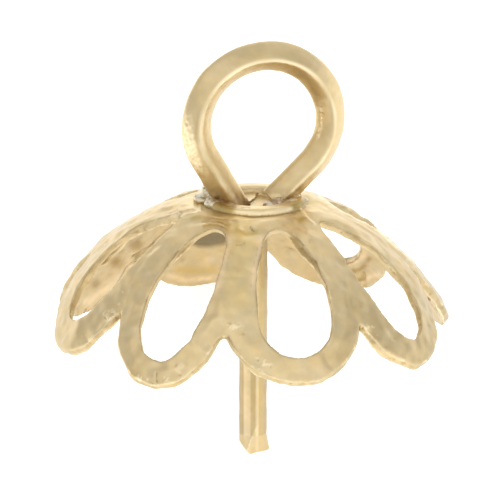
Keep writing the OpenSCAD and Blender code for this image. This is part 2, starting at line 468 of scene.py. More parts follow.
# Lines: the path, its half width, how far it stands out, how bright it is worn and painted with highlight,
# and how dark it is painted with shade
LINES = [
    ([(-1.37, -0.85), (-1.21, -0.81), (-0.99, -0.81), (-0.85, -0.85), (-0.66, -0.95)],
     0.030, -0.010, 0.0, 0.25),
    ([(-1.35, -0.98), (-1.18, -0.91), (-0.97, -0.91), (-0.78, -1.00), (-0.66, -1.10)],
     0.030, -0.010, 0.0, 0.30),
    ([(-1.30, -0.92), (-1.18, -0.86), (-0.97, -0.86), (-0.78, -0.93)], 0.025, 0.010, 0.4, 0.0),
    ([(1.37, -0.45), (1.51, -0.66), (1.77, -0.90)], 0.035, 0.020, 0.6, 0.0),
    ([(-1.90, -0.64), (-1.47, -0.53), (-1.45, -0.31)], 0.030, 0.010, 0.5, 0.0),
    ([(-2.33, -0.58), (-2.1, -0.49), (-1.97, -0.58), (-1.99, -0.72), (-2.15, -0.84)],
     0.028, -0.010, 0.0, 0.7),
    ([(-2.20, -0.68), (-2.06, -0.62)], 0.055, 0.02, 1.6, 0.0),
    ([(-0.44, -1.49), (-0.33, -1.50), (-0.21, -1.46)], 0.030, -0.010, 0.0, 0.3),
    ([(-0.55, -1.50), (-0.62, -1.78), (-0.70, -2.05), (-0.72, -2.4)], 0.022, -0.004, 0.0, 0.15),
    ([(0.17, -1.55), (0.08, -1.95), (0.00, -2.3), (-0.02, -2.7)], 0.022, -0.004, 0.0, 0.15),
    ([(-2.67, -5.10), (-2.67, -5.62)], 0.030, -0.020, 0.0, 0.35),
    ([(1.23, -1.30), (1.40, -1.55), (1.70, -1.90), (2.02, -2.45), (2.25, -3.00)],
     0.030, 0.010, 0.6, 0.0),
    (RIGHT_EDGE, 0.035, 0.020, 1.0, 0.0),
    (RIGHT_SHADE, 0.035, -0.020, 0.0, 0.7),
    ([(-0.47, -0.60), (-0.18, -0.66), (0.13, -0.68), (0.67, -0.64), (1.16, -0.54)],
     0.030, -0.020, 0.0, 0.8),
    ([(-0.87, -0.33), (-0.67, -0.40), (-0.47, -0.43), (-0.04, -0.43)], 0.025, -0.010, 0.0, 0.8),
]
# Rough patches, filed corners and torn notches: right, up, half width, half height and how rough
ROUGH = [
    (-2.95, -5.35, 0.42, 0.24, 1.0), (-2.35, -5.30, 0.35, 0.14, 0.8), (-2.04, -5.05, 0.22, 0.26, 0.6),
    (-0.52, -3.90, 0.40, 0.26, 0.9), (0.30, -4.84, 0.34, 0.24, 0.8), (1.16, -5.41, 0.34, 0.12, 0.9),
    (2.00, -5.28, 0.22, 0.12, 0.8), (3.33, -4.02, 0.26, 0.34, 1.0), (3.90, -4.70, 0.40, 0.18, 0.6),
    (-4.01, -3.50, 0.24, 0.28, 1.0), (-4.60, -4.20, 0.30, 0.22, 0.6), (1.16, -1.33, 0.11, 0.19, 0.9),
    (-0.10, -1.01, 0.26, 0.10, 0.9), (4.60, -1.95, 0.20, 0.20, 0.5),
]
# Random hollows: how many, their radii, their depths and the seed
HAMMERED = (420, (0.14, 0.30), (0.002, 0.012), 21)
CAST = (300, (0.2, 0.36), (0.02, 0.06), 22)
CUT = (900, (0.06, 0.15), (-0.005, 0.012), 23)
DENTS = (12, (0.045, 0.06), (0.006, 0.016), 24)
# Soft waves across the sheet, each with its height, size and seed, and waves that push it sideways
# too, each with its size, height and seed
SWELL, RIPPLE = (0.010, 1.1, 11), (0.004, 0.4, 12)
WARPS = [(0.9, 0.014, 40), (0.45, 0.005, 50)]
# Radii about the hub's axis: the well, where the hammering starts, where the relief starts to grow
# and how far it takes, the collar's foot, what shows as the hub's top, what has the hub's tone, and
# where the petals' ends begin
WELL, HAMMER_FROM, RELIEF_FROM, RELIEF_TAKES = 1.08, 1.2, 1.5, 0.8
COLLAR_FOOT, HUB_SHOWN, HUB_TONED, ENDS_FROM = 1.75, 1.8, 1.9, 3


class Skin:
    """The cap's points before the relief, which way each faces and what the camera sees."""

    def __init__(self, mesh):
        self.xyz, self.normal = points(mesh), normals(mesh)
        ray = self.xyz - DOME_C
        ray /= np.linalg.norm(ray, axis=1)[:, None]
        # 1 where the metal faces straight away from the dome's centre, -1 where it faces it
        self.facing = (ray * self.normal).sum(1)
        self.reach = np.hypot(self.xyz[:, 0], self.xyz[:, 1])
        self.outer, self.inner = self.facing > 0.75, self.facing < -0.75
        self.wall = np.abs(self.facing) < 0.5
        # The hub is more even than the petals
        self.uneven = np.clip((self.reach - RELIEF_FROM) / RELIEF_TAKES, 0.15, 1)
        self.uv = in_view(self.xyz)
        self.to_camera = self.normal @ TOWARDS
        self.seen = self.outer & (self.to_camera > 0.1)
        self.top = self.seen | (self.reach < HUB_SHOWN)


def hammered(skin):
    """Height of the random relief: hammered outside, cast inside and rough on the cut walls."""
    xyz, clear = skin.xyz, skin.reach > HAMMER_FROM
    push = waves(xyz, SWELL) * skin.uneven
    push += waves(xyz, RIPPLE) * skin.uneven * np.where(skin.inner, 2.0, 1.0)
    push -= dimples(xyz, *scatter(xyz, skin.outer & clear, *HAMMERED)) * skin.outer
    push -= dimples(xyz, *scatter(xyz, skin.inner & clear, *CAST)) * skin.inner
    push -= dimples(xyz, *scatter(xyz, skin.wall, *CUT))
    push -= dimples(xyz, *scatter(xyz, skin.outer | skin.wall, *DENTS))
    return push


def marked(skin, push):
    """The relief with its marks added, and how bright and how dark they leave the metal, mostly as painted
    highlight and painted shade.
    """
    rough = 0.6 + 0.6 * Noise(0.12, 88)(skin.xyz)
    bright, dark = np.zeros(len(push)), np.zeros(len(push))
    for u, v, radius, depth in HOLLOWS:
        mark = spot(skin.uv, (u, v), radius) * skin.seen
        push -= depth * mark * mark
        # small lumps get a painted highlight, and small hollows are painted darker
        if depth < 0:
            bright += 0.25 * mark
        elif radius < SMALL_HOLLOW:
            dark += 0.30 * mark * mark * np.clip(1.6 * rough, 0, 1)
    for path, width, out, rubbed_and_lit, shade in LINES:
        mark = stroke(skin.uv, path, width) * skin.seen
        push += out * mark
        bright += rubbed_and_lit * mark * np.clip(rough, 0.2, 1)
        dark += shade * mark * np.clip(1.5 * rough, 0, 1)
    # painted glints as bright flecks, and a few dark pits, in the rough patches
    fleck = rise(Noise(0.30, 82)(skin.xyz) + 0.5 * Noise(0.12, 80)(skin.xyz), 0.4, 1.3)
    pit = rise(Noise(0.20, 81)(skin.xyz), 1.3, 2.0)
    shown = (skin.to_camera > 0.0) * (skin.facing > -0.5)
    for u, v, wide, high, share in ROUGH:
        mark = np.sqrt(spot(skin.uv, (u, v), (wide, high)) * shown)
        push += share * mark * (0.008 * fleck - 0.012 * pit)
        bright += 0.75 * share * mark * fleck
        dark += 0.5 * share * mark * pit
    return push, bright, dark


# The cap's wear, painted light and shade, and tones, placed as the marks are

# Where the front petal on the left lies over the one beside it, and the shift of the painted shade in the
# gap behind it
SEAM = [
    (-2.24, -0.91), (-2.77, -1.44), (-3.27, -1.93), (-3.55, -2.21), (-3.92, -2.74), (-4.29, -3.11),
    (-4.53, -3.35),
]
GAP_SHIFT = (-0.05, 0.04)
# The seam is lit to the left of and above the first place, the far edge to the right of and above
# the second
SEAM_LIT, EDGE_LIT = (-2.1, -3.5), (1.5, -2.5)
# How far wear and painted shade reach from an opening's rim, from a petal's end and over its end face, and
# the half widths of the painted dark outlines, the lit seam, the painted shade in the gap behind it and the
# collar lip's painted highlight
RIM_REACH, END_REACH, END_FACE = 0.09, 0.12, 0.30
OUTLINE_WIDE, SEAM_WIDE, GAP_WIDE, LIP_WIDE = 0.040, 0.035, 0.030, 0.07
# Curvatures between which an edge turns bright with wear, and a crease and an opening's rim turn dark with
# painted shade
BRIGHT_EDGE, DARK_CREASE, DARK_RIM = (0.0012, 0.0050), (0.0010, 0.004), (0.0010, 0.005)
# The front of the collar's lip, which gets a painted highlight, and the heat stain with painted shade on
# its left: place, then half width and height
LIP = [(-0.40, -0.52), (-0.15, -0.56), (0.13, -0.57), (0.67, -0.55), (1.10, -0.46)]
SHADED_HEAT_STAIN = ((-0.75, -0.12), (0.45, 0.26))
# Deep shade on the far petal, right under the hub end of the front opening
DEEP_SHADE = ((-1.30, -1.22), (0.78, 0.42))
# Tones outside and inside the cap: the path, its half width, and what the metal is multiplied by
# Pale and pink are painted highlights, and yellow is a yellower tone with painted light on the strut
PALE, PINK, YELLOW = (1.15, 1.15, 1.24), (1.20, 1.17, 1.30), (1.09, 1.08, 0.98)
# Olive is a darker tone, and the deeper olive is painted shade on the collar's ends
OLIVE, SHADED_OLIVE = (0.76, 0.74, 0.50), (0.66, 0.60, 0.38)
# Lit is painted highlight and reflection, and the dark tone is painted shade and reflection inside the cap
LIT, PAINTED_SHADE_IN = (1.26, 1.26, 1.36), (0.64, 0.56, 0.40)
TONES_OUT = [
    ([(-2.55, -0.98), (-2.22, -0.72)], 0.11, (0.84, 0.81, 0.72)),
    ([(-0.15, -0.8), (-0.25, -1.3), (-0.28, -2.2), (-0.35, -3.0)], 0.45, YELLOW),
    ([(-0.62, -1.35), (-0.80, -1.8), (-0.90, -2.3), (-1.02, -2.8)], 0.10, PINK),
    ([(0.27, -1.3), (0.20, -1.7), (0.10, -2.1), (0.02, -2.7)], 0.09, PINK),
    ([(-1.30, -0.24), (-1.15, -0.34), (-0.90, -0.44), (-0.60, -0.52)], 0.13, SHADED_OLIVE),
    ([(1.25, -0.42), (1.45, -0.28), (1.58, -0.15)], 0.12, SHADED_OLIVE),
    ([(-1.68, -0.72), (-1.45, -0.70)], 0.07, OLIVE),
    ([(1.20, -0.43), (1.50, -0.32), (1.80, -0.28)], 0.11, OLIVE),
    ([(1.35, -0.80), (1.50, -0.72)], 0.07, OLIVE),
    ([(-0.40, -0.90), (-0.40, -1.05), (-0.14, -1.16), (0.12, -1.10)], 0.06, OLIVE),
]
TONES_IN = [
    ([(-3.45, -2.10), (-4.04, -2.65), (-4.80, -3.20)], 0.12, LIT),
    ([(-4.53, -2.62), (-4.52, -2.61)], 0.15, PAINTED_SHADE_IN),
    ([(-3.94, -2.00), (-3.90, -1.97)], 0.17, PAINTED_SHADE_IN),
    ([(-3.42, -1.52), (-3.28, -1.46)], 0.14, PAINTED_SHADE_IN),
    ([(-2.41, -2.41), (-1.87, -2.51), (-1.33, -2.48), (-1.04, -2.41)], 0.07, LIT),
    ([(-2.10, -2.18), (-1.50, -2.25), (-1.10, -2.20)], 0.10, (1, 0.93, 0.70)),
    ([(-1.30, -1.95), (-1.20, -1.95)], 0.12, PALE),
    ([(2.73, -1.87), (3.02, -1.84)], 0.05, PAINTED_SHADE_IN),
    ([(2.79, -2.01), (3.02, -1.98), (3.22, -1.81), (3.25, -1.70)], 0.06, LIT),
    ([(2.93, -2.25), (3.16, -2.20), (3.33, -2.00), (3.42, -1.88)], 0.07, PAINTED_SHADE_IN),
    ([(3.24, -2.61), (3.47, -2.41), (3.70, -2.30)], 0.07, LIT),
    ([(3.15, -2.52), (3.30, -2.50)], 0.08, PAINTED_SHADE_IN),
]


def lit_seam(skin, xyz, ends):
    """The seam on the left and the far edge on the right, which catch the light."""
    seam = np.concatenate([ends[FRONT_LEFT], ends[RIGHT]])
    at = in_view(seam)
    left = (at[:, 0] < SEAM_LIT[0]) & (at[:, 1] > SEAM_LIT[1])
    right = (at[:, 0] > EDGE_LIT[0]) & (at[:, 1] > EDGE_LIT[1])
    lit = fade(distance(xyz, seam[left | right]), SEAM_WIDE) * (skin.to_camera > 0)
    return lit * patchy(xyz, 0.5, 79, 0.7, 0.4)


def edges_and_creases(skin, xyz, curve, to_rims, to_ends):
    """Shares of rubbed bright edge and of painted shade in creases, on rims, behind the seam and on the
    petals' end faces, from how the skin curves and where its edges run.
    """
    holes, tips = fade(to_rims, RIM_REACH), fade(to_ends, END_REACH)
    outline = fade(to_rims, OUTLINE_WIDE) * patchy(xyz, 0.5, 83, 0.7, 0.5)
    chips = rise(Noise(0.28, 85)(xyz), 0.3, 1.0)
    drift = 0.5 + 0.5 * Noise(0.8, 90)(xyz) / 1.5
    edge = rise(curve, *BRIGHT_EDGE) * np.clip(0.35 + 0.75 * drift, 0, 1) * (1 - 0.85 * holes)
    edge *= (1 - tips * (1 - chips)) * np.where(skin.facing < -0.2, 0.35, 1.0)
    # painted shade in creases, on the openings' rims and as dark outlines along them, lighter in the well
    crease = rise(-curve, *DARK_CREASE) + 0.45 * holes * rise(curve, *DARK_RIM)
    crease = np.clip(crease + 0.6 * outline, 0, 1) * np.where(skin.reach < WELL, 0.3, 1.0)
    # painted shade: the dark line behind the seam, and the dull faces at the petals' ends
    gap = stroke(skin.uv, [(u + GAP_SHIFT[0], v + GAP_SHIFT[1]) for u, v in SEAM], GAP_WIDE)
    crease += 0.7 * (gap * (skin.to_camera > 0) * (skin.facing < 0.75))
    end_face = (skin.facing < 0.55) * (skin.facing > -0.9) * (skin.reach > ENDS_FROM)
    crease += (0.42 + 0.15 * Noise(0.3, 84)(xyz)) * (fade(to_ends, END_FACE) * end_face)
    return edge, crease


def cap_rubbing_and_light(skin, xyz, curve, rims, ends, bright, dark):
    """Shares of rubbed edge and painted highlight, of painted shade, and of heat stain with painted shade.
    """
    to_rims, to_ends = distance(xyz, rims), distance(xyz, np.concatenate(ends))
    edge, crease = edges_and_creases(skin, xyz, curve, to_rims, to_ends)
    seam, lip = lit_seam(skin, xyz, ends), stroke(skin.uv, LIP, LIP_WIDE)
    # heat stain with painted shade on the collar's left
    browning = spot(skin.uv, *SHADED_HEAT_STAIN) * patchy(xyz, 0.3, 91, 0.6, 0.5)
    edge *= np.where(skin.reach < COLLAR_FOOT, 0.35, 1.0)
    # painted highlights from the marks, on the collar's lip and on the lit seam, over the worn edges
    edge = np.clip(edge + bright * skin.seen + 0.8 * lip * skin.top + 0.7 * seam, 0, 1)
    return np.c_[edge, np.clip(crease * (1 - lip) + dark * skin.top, 0, 1), 0.6 * browning * skin.top]


def cap_tone(skin):
    """What the metal is multiplied by: painted shade on the flanks, so that they look as dull as the front
    in spite of their light; painted light on the outer faces and painted shade on the walls and inner
    faces; a lighter hub; the painted tones; and deep painted shade on the far petal.
    """
    across = skin.normal[:, 0]
    flank = np.where(across > 0, 0.32, 0.22) * rise(np.abs(across), 0.25, 0.85)
    level = np.where(skin.facing > 0.2, 1.07 - flank, 0.92)
    level = level * np.where(skin.reach < HUB_TONED, 1.07, 1.0)
    tone = np.repeat(level[:, None], 3, 1)
    for tones, side in ((TONES_OUT, skin.top), (TONES_IN, skin.facing < -0.3)):
        for path, width, rgb in tones:
            mark = (stroke(skin.uv, path, width) * side)[:, None]
            tone *= 1 - mark + mark * rgb
    deep = np.clip(2 * spot(skin.uv, *DEEP_SHADE), 0, 1) * (skin.facing < -0.5)
    return tone * (1 - 0.60 * deep)[:, None]


def build_cap():
    piece, rims, ends = cap_skin()
    skin = Skin(piece.data)
    push, bright, dark = marked(skin, hammered(skin))
    xyz = skin.xyz + skin.normal * push[:, None]
    for size, height, seed in WARPS:
        xyz = warp(xyz, size, height * skin.uneven, seed)
    set_points(piece.data, xyz)
    wear_and_painted_light = cap_rubbing_and_light(skin, xyz, curvature(piece.data), rims, ends, bright, dark)
    paint(piece.data, "wear_and_painted_light", wear_and_painted_light)
    tint(piece.data, cap_tone(skin), xyz, 0.030)
    thin_out(piece, CAP_TRIANGLES)
    return piece


# The wire and the eye

# Width and thickness of the wire, the soft flat on its corners, how wide its worn ridges and their painted
# highlights are, its mesh's step and its turn
EYE_WIRE, PEG_WIRE = (0.87, 0.98), (0.82, 0.92)
WIRE_FLAT, RIDGE_WIDE, WIRE_STEP, WIRE_TURN = 0.16, 0.05, 0.036, 15
# Radius of the eye's bend, lean of its legs, their lengths, and the height where their feet are flat
EYE_R, LEG_LEAN, LEG_RIGHT, LEG_LEFT = 1.97, math.radians(38), 1.45, 2.1
FOOT = -0.6
# Where the eye stands: its shift, turn, nod, lean and height
EYE = (Matrix.Translation((0.03, 0, 0)) @ Matrix.Rotation(math.radians(WIRE_TURN), 4, "Z")
       @ Matrix.Rotation(math.radians(2.6), 4, "X") @ Matrix.Rotation(math.radians(7.3), 4, "Y")
       @ Matrix.Translation((0, 0, 2.15)))
# Marks along the wire: degrees round the eye and millimetres round the wire from its front corner, then
# half sizes. The left shoulder is filed flat, one facet at the top gets a painted highlight and one is
# painted darker.
FILED = ((201, 0.42), (27, 0.27))
SHINY = ((128, -0.12), (34, 0.13))
DARKER_FACET = ((195, 0.12), (30, 0.07))
# A torn line on the inside at the right, its half width, and the turn where it ends
TORN, TORN_WIDE, TORN_REACH = [(-12, -0.46), (5, -0.44), (22, -0.42)], 0.045, 30
# Degrees of the eye that count as one millimetre in the torn line
TORN_SCALE = 40
# Soft waves of the wire, of its filed face and of the torn line, and how deep the filed face and
# the pits are
EYE_WAVES = [(0.005, 0.9, 61), (0.002, 0.3, 62)]
FILED_WAVE, TORN_WAVE, FILED_DEPTH, PIT_DEPTH = (0.006, 0.13, 63), (0.012, 0.08, 64), 0.02, 0.03
# Pits as the camera sees them, on the right leg and at the top: right, up and radius
PITS = [
    (1.20, 0.72, 0.06), (1.27, 0.78, 0.05), (1.16, 0.66, 0.04), (1.52, 0.98, 0.06),
    (1.57, 1.04, 0.05), (1.60, 0.93, 0.04), (-0.65, 3.47, 0.05), (-0.56, 3.52, 0.04),
]
# The burnt place at the left foot, with painted shade: place, then half width and half height
SHADED_BURNT_FOOT = ((-0.80, -0.12), (0.42, 0.40))


def wire_outline(wide, deep):
    """Diamond with a soft flat on each corner, and how far each point is from the front corner."""
    w, d, f = wide / 2, deep / 2, WIRE_FLAT / 2
    corners = [(w, -f), (w, f), (f, d), (-f, d), (-w, f), (-w, -f), (-f, -d), (f, -d)]
    fine = evenly(cut_corners(corners, 3), WIRE_STEP)
    fine = np.roll(fine, -int(np.argmin(fine[:, 1] + 1e-3 * np.abs(fine[:, 0]))), 0)
    k = np.arange(len(fine))
    return fine, np.where(k > len(fine) / 2, k - len(fine), k) * WIRE_STEP


def eye_rings(section):
    """Rings of points along the eye from its right foot to its left one, and each ring's turn."""
    arc = EYE_R * (math.pi + 2 * LEG_LEAN)
    total = LEG_RIGHT + arc + LEG_LEFT
    count = int(total / WIRE_STEP)
    rings, turns = [], []
    for k in range(count + 1):
        s = total * k / count
        if s < LEG_RIGHT:
            t, straight = -LEG_LEAN, LEG_RIGHT - s
        elif s > LEG_RIGHT + arc:
            t, straight = math.pi + LEG_LEAN, -(s - LEG_RIGHT - arc)
        else:
            t, straight = -LEG_LEAN + (s - LEG_RIGHT) / EYE_R, 0
        outward = np.array([math.cos(t), 0, math.sin(t)])
        along = np.array([-math.sin(t), 0, math.cos(t)])
        middle = outward * EYE_R - along * straight
        rings.append(middle + outward * section[:, :1] + np.array([0, 1, 0]) * section[:, 1:])
        turns.append(math.degrees(t - straight / EYE_R))
    return np.concatenate(rings), np.repeat(turns, len(section))


def ridges(side, xyz):
    """The wire's corners, rubbed bright and painted with highlights: the front one most."""
    far = np.abs(side)
    rubbed_and_lit = fade(far, RIDGE_WIDE) + 0.4 * fade(far - far.max() / 2, RIDGE_WIDE)
    return rubbed_and_lit * patchy(xyz, 1.4, 95, 0.75, 0.25)


def build_eye():
    section, side = wire_outline(*EYE_WIRE)
    rings, turn = eye_rings(section)
    xyz = moved(rings, EYE)
    xyz[:, 2] = np.maximum(xyz[:, 2], FOOT)
    piece = bar("eye", xyz, len(section))
    side = np.tile(side, len(xyz) // len(section))
    along = np.c_[turn, side]

    normal, uv = normals(piece.data), in_view(xyz)
    front = normal @ TOWARDS > 0.1
    filed = np.sqrt(spot(along, *FILED))
    torn = stroke(np.c_[turn / TORN_SCALE, side], [(t / TORN_SCALE, s) for t, s in TORN], TORN_WIDE)
    torn = torn * (np.abs(turn) < TORN_REACH)
    pits = np.zeros(len(xyz))
    for u, v, radius in PITS:
        pits += spot(uv, (u, v), radius) * front
    push = waves(xyz, *EYE_WAVES) - PIT_DEPTH * pits
    push += filed * (waves(xyz, FILED_WAVE) - FILED_DEPTH) + torn * waves(xyz, TORN_WAVE)
    xyz = xyz + normal * push[:, None]
    set_points(piece.data, xyz)

    grit = patchy(xyz, 0.1, 67, 0.75, 0.25)
    foot = rise(-uv[:, 1], -0.22, 0.12) * patchy(xyz, 0.25, 68, 0.7, 0.4)
    bright = ridges(side, xyz) + 0.9 * filed * grit + 0.8 * torn * grit + 0.7 * spot(along, *SHINY)
    dark = 0.9 * pits + 0.4 * spot(along, *DARKER_FACET)
    dark += 0.35 * rise(-uv[:, 1], -0.6, 0.1) * (side > 0.05) * (uv[:, 0] < 0)
    # browner down the left leg's outer facet, and the burnt place at the left foot with its painted shade
    browned = 0.30 * rise(-uv[:, 1], -1.3, 0.0) * (side > 0.05) * (uv[:, 0] < -0.3) * front
    browned += 0.40 * spot(uv, *SHADED_BURNT_FOOT) * patchy(xyz, 0.2, 69, 0.8, 0.4)
    paint(piece.data, "wear_and_painted_light", np.c_[bright * (1 - foot), dark, np.maximum(0.55 * foot, browned)])
    tint(piece.data, np.ones(len(xyz)), xyz, 0.02)
    return piece


# The peg

# Heights of its top and of its end before it is snipped, its rings, its shift and its lean
PEG_TOP, PEG_END, PEG_RINGS, PEG_SHIFT, PEG_LEAN = -0.42, -8.3, 90, 0.07, -0.5
# The cutters' planes: a point of each and the way it faces
SNIP, HEEL = math.radians(50), math.radians(6)
PEG_CUTS = [
    ((0.04, 0, -7.78), (-math.sin(SNIP), 0, -math.cos(SNIP))),
    ((0.04, 0, -7.80), (math.sin(HEEL), 0, -math.cos(HEEL))),
    ((-0.04, -0.3, -7.74), (0.55, -0.77, -0.32)),
]
# Below this height the peg is cut or pinched by the cutters
CUT_TOP = -7.2
# How far the cutters splay the tip to the right, the depths and the distances from the tip's middle
# between which that grows, and where the tip's middle is
SPLAY, SPLAY_DEPTH, SPLAY_WIDTH, TIP_MIDDLE = 0.09, (7.25, 7.75), (0.05, 0.35), 0.14
# Soft waves of the peg: height, size and seed
PEG_WAVES = [(0.004, 0.9, 65), (0.001, 0.3, 66)]
# Tones of the painted reflections along the wire
DULL_WIRE = (0.80, 0.80, 0.81)
BRIGHT_WIRE = (1.11, 1.10, 1.12)
WARM_WIRE = (0.94, 0.91, 0.83)
SHADED_WIRE = (0.87, 0.85, 0.74)
# Strips of painted reflection along the wire, as the camera sees it: left side, right side and tone
REFLECTION_STRIPS = [
    (-0.33, -0.24, DULL_WIRE),
    (-0.20, -0.04, BRIGHT_WIRE),
    (-0.01, 0.11, WARM_WIRE),
    (0.13, 0.19, BRIGHT_WIRE),
    (0.22, 0.34, SHADED_WIRE),
    (0.37, 0.50, DULL_WIRE),
]
REFLECTION_STRENGTH = 1.35


def reflection_tone(across):
    """Tone of the painted reflections on the wire at a distance to the right of the crown."""
    sides = [side for left, right, _ in REFLECTION_STRIPS for side in (left, right)]
    tones = np.repeat([tone for _, _, tone in REFLECTION_STRIPS], 2, axis=0)
    return np.array([np.interp(across, sides, tones[:, i]) for i in range(3)]).T


def peg_bar():
    """The peg's plain bar, with its end snipped off."""
    section = wire_outline(*PEG_WIRE)[0]
    flat = section @ turning("Z", WIRE_TURN)[:2, :2].T
    heights = np.linspace(PEG_TOP, PEG_END, PEG_RINGS)
    xyz = np.concatenate([np.c_[flat, np.full(len(section), z)] for z in heights])
    xyz[:, 0] += PEG_SHIFT
    piece = bar("peg", xyz @ turning("Y", PEG_LEAN).T, len(section))
    bm = bmesh.new()
    bm.from_mesh(piece.data)
    bmesh.ops.recalc_face_normals(bm, faces=bm.faces)
    for at, way in PEG_CUTS:
        cut = bmesh.ops.bisect_plane(bm, geom=bm.verts[:] + bm.edges[:] + bm.faces[:], plane_co=at,
                                     plane_no=way, clear_outer=True)
        bmesh.ops.holes_fill(bm, edges=[e for e in cut["geom_cut"] if isinstance(e, bmesh.types.BMEdge)])
    bm.to_mesh(piece.data)
    bm.free()
    remesh(piece, PEG_VOXEL)
    smooth(piece.data, 1)
    return piece


def build_peg():
    piece = peg_bar()
    normal, xyz = normals(piece.data), points(piece.data)
    xyz = xyz + normal * waves(xyz, *PEG_WAVES)[:, None]
    xyz[:, 0] += SPLAY * rise(-xyz[:, 2], *SPLAY_DEPTH) * rise(xyz[:, 0] - TIP_MIDDLE, *SPLAY_WIDTH)
    set_points(piece.data, xyz)
    cut = xyz[:, 2] < CUT_TOP
    edge = rise(curvature(piece.data), 0.0010, 0.0045) * (0.35 + 0.5 * cut)
    paint(piece.data, "wear_and_painted_light", np.c_[edge, 0 * edge, 0 * edge])
    # painted reflections in strips on the faces that the camera sees, weaker on the cut end
    strength = REFLECTION_STRENGTH * (reflection_tone(in_view(xyz)[:, 0]) - 1)
    strength = strength * (normal @ TOWARDS > 0)[:, None] * (1 - 0.7 * cut)[:, None]
    tint(piece.data, 1 + strength, xyz, 0.02)
    return piece


# Solder

# One row per blob: x, y, z of its middle, then its three radii
BLOBS_LEFT = [
    (-1.22, 0.04, -0.02, 0.26, 0.28, 0.25), (-1.02, -0.18, -0.22, 0.36, 0.36, 0.22),
    (-1.42, 0.00, -0.20, 0.24, 0.28, 0.16), (-0.80, -0.38, -0.24, 0.30, 0.26, 0.20),
    (-1.00, -0.54, -0.20, 0.34, 0.24, 0.16), (-0.62, -0.62, -0.26, 0.26, 0.20, 0.16),
]
BLOBS_RIGHT = [
    (1.16, 0.12, -0.22, 0.30, 0.30, 0.20), (0.86, -0.24, -0.24, 0.26, 0.22, 0.17),
    (1.40, 0.22, -0.28, 0.22, 0.22, 0.14), (0.58, -0.32, -0.28, 0.26, 0.22, 0.15),
    (1.12, -0.32, -0.22, 0.30, 0.22, 0.15),
]
SEED_LEFT, SEED_RIGHT = 71, 75
# Random pits: how many, their radii and their depths
SOLDER_PITS = (16, (0.03, 0.06), (0.015, 0.04))
# How far to either side of the crown the flux has burnt the solder
BURNT_REACH = 1.08


def blob(x, y, z, *radii):
    """A ball stretched to three radii."""
    bm = bmesh.new()
    bmesh.ops.create_icosphere(bm, subdivisions=4, radius=1)
    xyz = np.array([vert.co for vert in bm.verts]) * radii + (x, y, z)
    faces = [[vert.index for vert in face.verts] for face in bm.faces]
    bm.free()
    return xyz, faces


def build_solder(name, blobs, seed):
    """Blobs of solder run together, uneven, pitted and burnt towards the well."""
    piece = joined(name, [blob(*row) for row in blobs])
    remesh(piece, SOLDER_VOXEL)
    smooth(piece.data, 25)
    normal, xyz = normals(piece.data), points(piece.data)
    push = waves(xyz, (0.012, 0.35, seed), (0.003, 0.12, seed + 1))
    shown = (xyz[:, 2] > -0.25) & (normal @ TOWARDS > 0.2)
    hollow = dimples(xyz, *scatter(xyz, shown, *SOLDER_PITS, seed + 2))
    xyz = xyz + normal * (push - hollow)[:, None]
    set_points(piece.data, xyz)
    inner = rise(BURNT_REACH - np.abs(in_view(xyz)[:, 0]), -0.04, 0.12)
    browned = np.clip(inner * (0.75 + 0.4 * Noise(0.2, seed + 3)(xyz)), 0, 1)
    edge = 0.8 * rise(curvature(piece.data), 0.0006, 0.003)
    paint(piece.data, "wear_and_painted_light", np.c_[edge, np.clip(40 * hollow, 0, 0.9), 0.75 * browned])
    tint(piece.data, np.ones(len(xyz)), xyz, 0.04)
    return piece


# Materials

# The two metals: colour, roughness and strength of the grain
PALE_GOLD, SOLDER = ((0.645, 0.508, 0.287), 0.36, 0.25), ((0.66, 0.59, 0.45), 0.40, 0.4)
# The painted channels of wear and light and their colours, laid on in order: the crease colour for painted
# shade, heat stain with some painted shade, and the worn edge's colour, which also carries painted
# highlights
WEAR_AND_LIGHT_HUES = [("Green", (0.36, 0.26, 0.12)), ("Blue", (0.30, 0.17, 0.09)), ("Red", (0.93, 0.79, 0.52))]
# Clouds in the metal, darker and lighter, times its colour; about two, as the painted tint is a half
CLOUD_DARK, CLOUD_LIGHT, CLOUD_RANGE = (1.95, 1.93, 1.82), (2.05, 2.07, 2.14), (0.3, 0.7)
# Scale per metre and detail of the clouds and of the fine grain, and the grain's height in metres
CLOUDS, GRAIN, GRAIN_HEIGHT = (1100, 5), (9000, 4), 0.00002
# How far the grain swings the roughness
ROUGH_SWING = 0.08


def noise_node(tree, place, scale, detail):
    node = tree.nodes.new("ShaderNodeTexNoise")
    node.inputs["Scale"].default_value = scale
    node.inputs["Detail"].default_value = detail
    tree.links.new(place, node.inputs["Vector"])
    return node.outputs["Fac"]


def range_node(tree, value, source, target):
    node = tree.nodes.new("ShaderNodeMapRange")
    node.inputs["From Min"].default_value, node.inputs["From Max"].default_value = source
    node.inputs["To Min"].default_value, node.inputs["To Max"].default_value = target
    tree.links.new(value, node.inputs["Value"])
    return node.outputs["Result"]


def painted_node(tree, name):
    node = tree.nodes.new("ShaderNodeAttribute")
    node.attribute_name = name
    return node.outputs["Color"]


def clouded(tree, place, base):
    """The metal's colour with soft clouds, times the painted tint."""
    ramp = tree.nodes.new("ShaderNodeValToRGB")
    for stop, at, cloud in zip(ramp.color_ramp.elements, CLOUD_RANGE, (CLOUD_DARK, CLOUD_LIGHT)):
        stop.position = at
        stop.color = (*[part * factor for part, factor in zip(base, cloud)], 1)
    tree.links.new(noise_node(tree, place, *CLOUDS), ramp.inputs["Fac"])
    dye = tree.nodes.new("ShaderNodeMix")
    dye.data_type, dye.blend_type = "RGBA", "MULTIPLY"
    dye.inputs["Factor"].default_value = 1.0
    tree.links.new(ramp.outputs["Color"], dye.inputs["A"])
    tree.links.new(painted_node(tree, "tint"), dye.inputs["B"])
    return dye.outputs["Result"]


